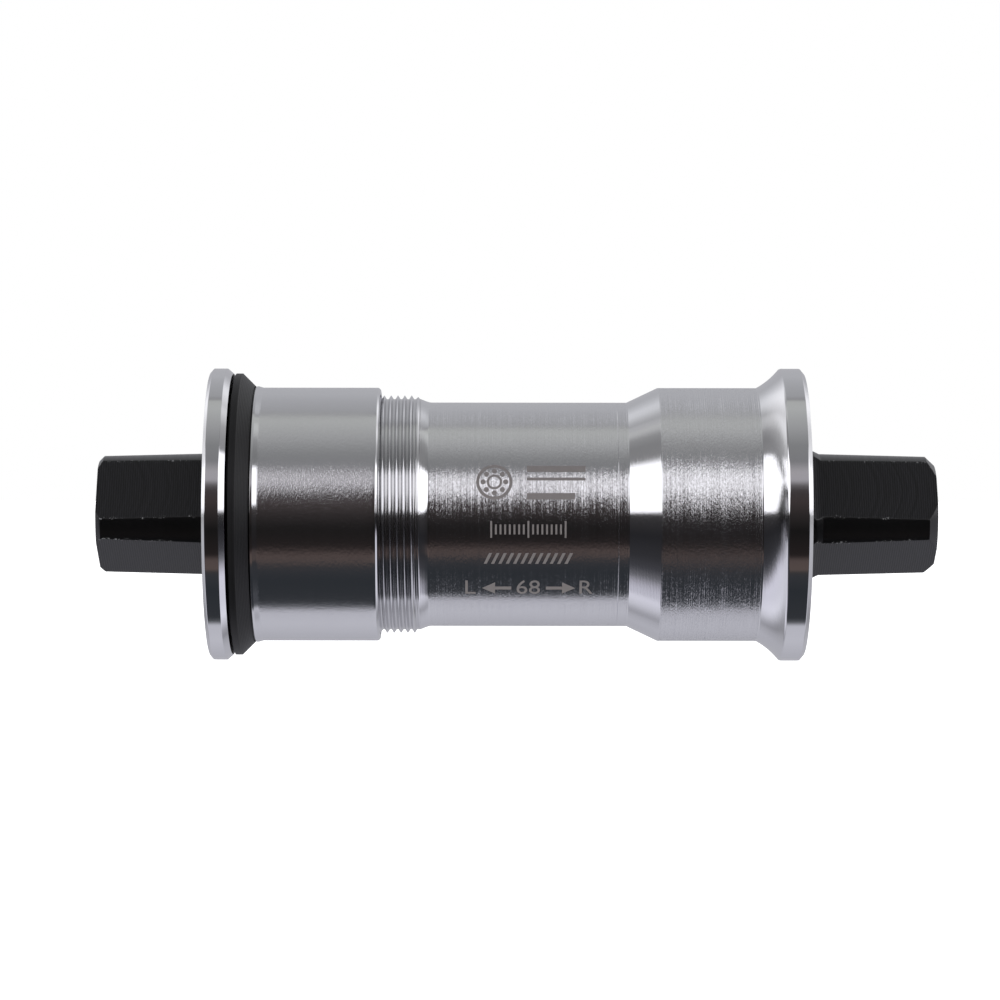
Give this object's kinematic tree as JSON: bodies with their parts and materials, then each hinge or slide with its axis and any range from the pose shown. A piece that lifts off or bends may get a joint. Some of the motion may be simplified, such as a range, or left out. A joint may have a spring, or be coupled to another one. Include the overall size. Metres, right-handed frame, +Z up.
{
  "type": "bottom bracket",
  "caption": "Square-taper cartridge bottom bracket for an unthreaded bicycle shell: flanged body, screw-on left cup with a wedge ring, sealed bearings and spindle.",
  "frame": {"origin": "on the spindle's axis, at the middle of the 68 mm frame shell that the part clamps into", "axes": "+X along the spindle to the drive side, +Z up, +Y away from the side that the picture shows"},
  "size_m": [0.1105, 0.0386, 0.0386],
  "materials": {
    "plated_steel": "bright nickel plate over turned steel, fine turning marks",
    "wedge_plastic": "matte black, finely ringed",
    "black_oxide_steel": "black oxide with milling marks across the flats",
    "bearing_steel": "ground",
    "polished_balls": "polished",
    "cage_nylon": "moulded",
    "seal_rubber": "moulded",
    "spring_steel": "dark phosphate",
    "cap_plastic": "moulded"
  },
  "bodies": {
    "housing": {"drive_side_body": "plated_steel", "drive_bearing_outer_race": "bearing_steel", "drive_bearing_inboard_seal": "seal_rubber", "drive_bearing_outboard_seal": "seal_rubber", "drive_retaining_ring": "spring_steel", "drive_dust_cap": "cap_plastic", "left_bearing_outer_race": "bearing_steel", "left_bearing_inboard_seal": "seal_rubber", "left_bearing_outboard_seal": "seal_rubber", "left_retaining_ring": "spring_steel", "left_dust_cap": "cap_plastic"},
    "spindle": {"spindle": "black_oxide_steel", "drive_bearing_inner_race": "bearing_steel", "left_bearing_inner_race": "bearing_steel"},
    "drive_balls": {"drive_bearing_cage": "cage_nylon", "drive_ball_01": "polished_balls", "drive_ball_02": "polished_balls", "drive_ball_03": "polished_balls", "drive_ball_04": "polished_balls", "drive_ball_05": "polished_balls", "drive_ball_06": "polished_balls", "drive_ball_07": "polished_balls", "drive_ball_08": "polished_balls", "drive_ball_09": "polished_balls", "drive_ball_10": "polished_balls"},
    "left_balls": {"left_bearing_cage": "cage_nylon", "left_ball_01": "polished_balls", "left_ball_02": "polished_balls", "left_ball_03": "polished_balls", "left_ball_04": "polished_balls", "left_ball_05": "polished_balls", "left_ball_06": "polished_balls", "left_ball_07": "polished_balls", "left_ball_08": "polished_balls", "left_ball_09": "polished_balls", "left_ball_10": "polished_balls", "left_ball_11": "polished_balls", "left_ball_12": "polished_balls", "left_ball_13": "polished_balls"},
    "wedge_ring": {"wedge_ring": "wedge_plastic"},
    "left_cup": {"left_cup": "plated_steel"}
  },
  "joints": [
    {"name": "spindle_spin", "type": "hinge", "parent": "housing", "child": "spindle", "pos_m": [0, 0, 0], "axis": [1, 0, 0], "continuous": true},
    {"name": "drive_balls_roll", "type": "hinge", "parent": "housing", "child": "drive_balls", "pos_m": [0, 0, 0], "axis": [1, 0, 0], "continuous": true},
    {"name": "left_balls_roll", "type": "hinge", "parent": "housing", "child": "left_balls", "pos_m": [0, 0, 0], "axis": [1, 0, 0], "continuous": true},
    {"name": "left_cup_travel", "type": "slide", "parent": "housing", "child": "wedge_ring", "axis": [1, 0, 0], "range_m": [-0.0064, 0.005]},
    {"name": "left_cup_turn", "type": "hinge", "parent": "wedge_ring", "child": "left_cup", "pos_m": [0, 0, 0], "axis": [1, 0, 0], "range_deg": [-2520, 1980]}
  ],
  "couplings": [
    {"joint": "drive_balls_roll", "follows": "spindle_spin", "ratio": 0.41702},
    {"joint": "left_balls_roll", "follows": "spindle_spin", "ratio": 0.43721},
    {"joint": "left_cup_travel", "follows": "left_cup_turn", "m_per_rad": 0.00014438}
  ]
}
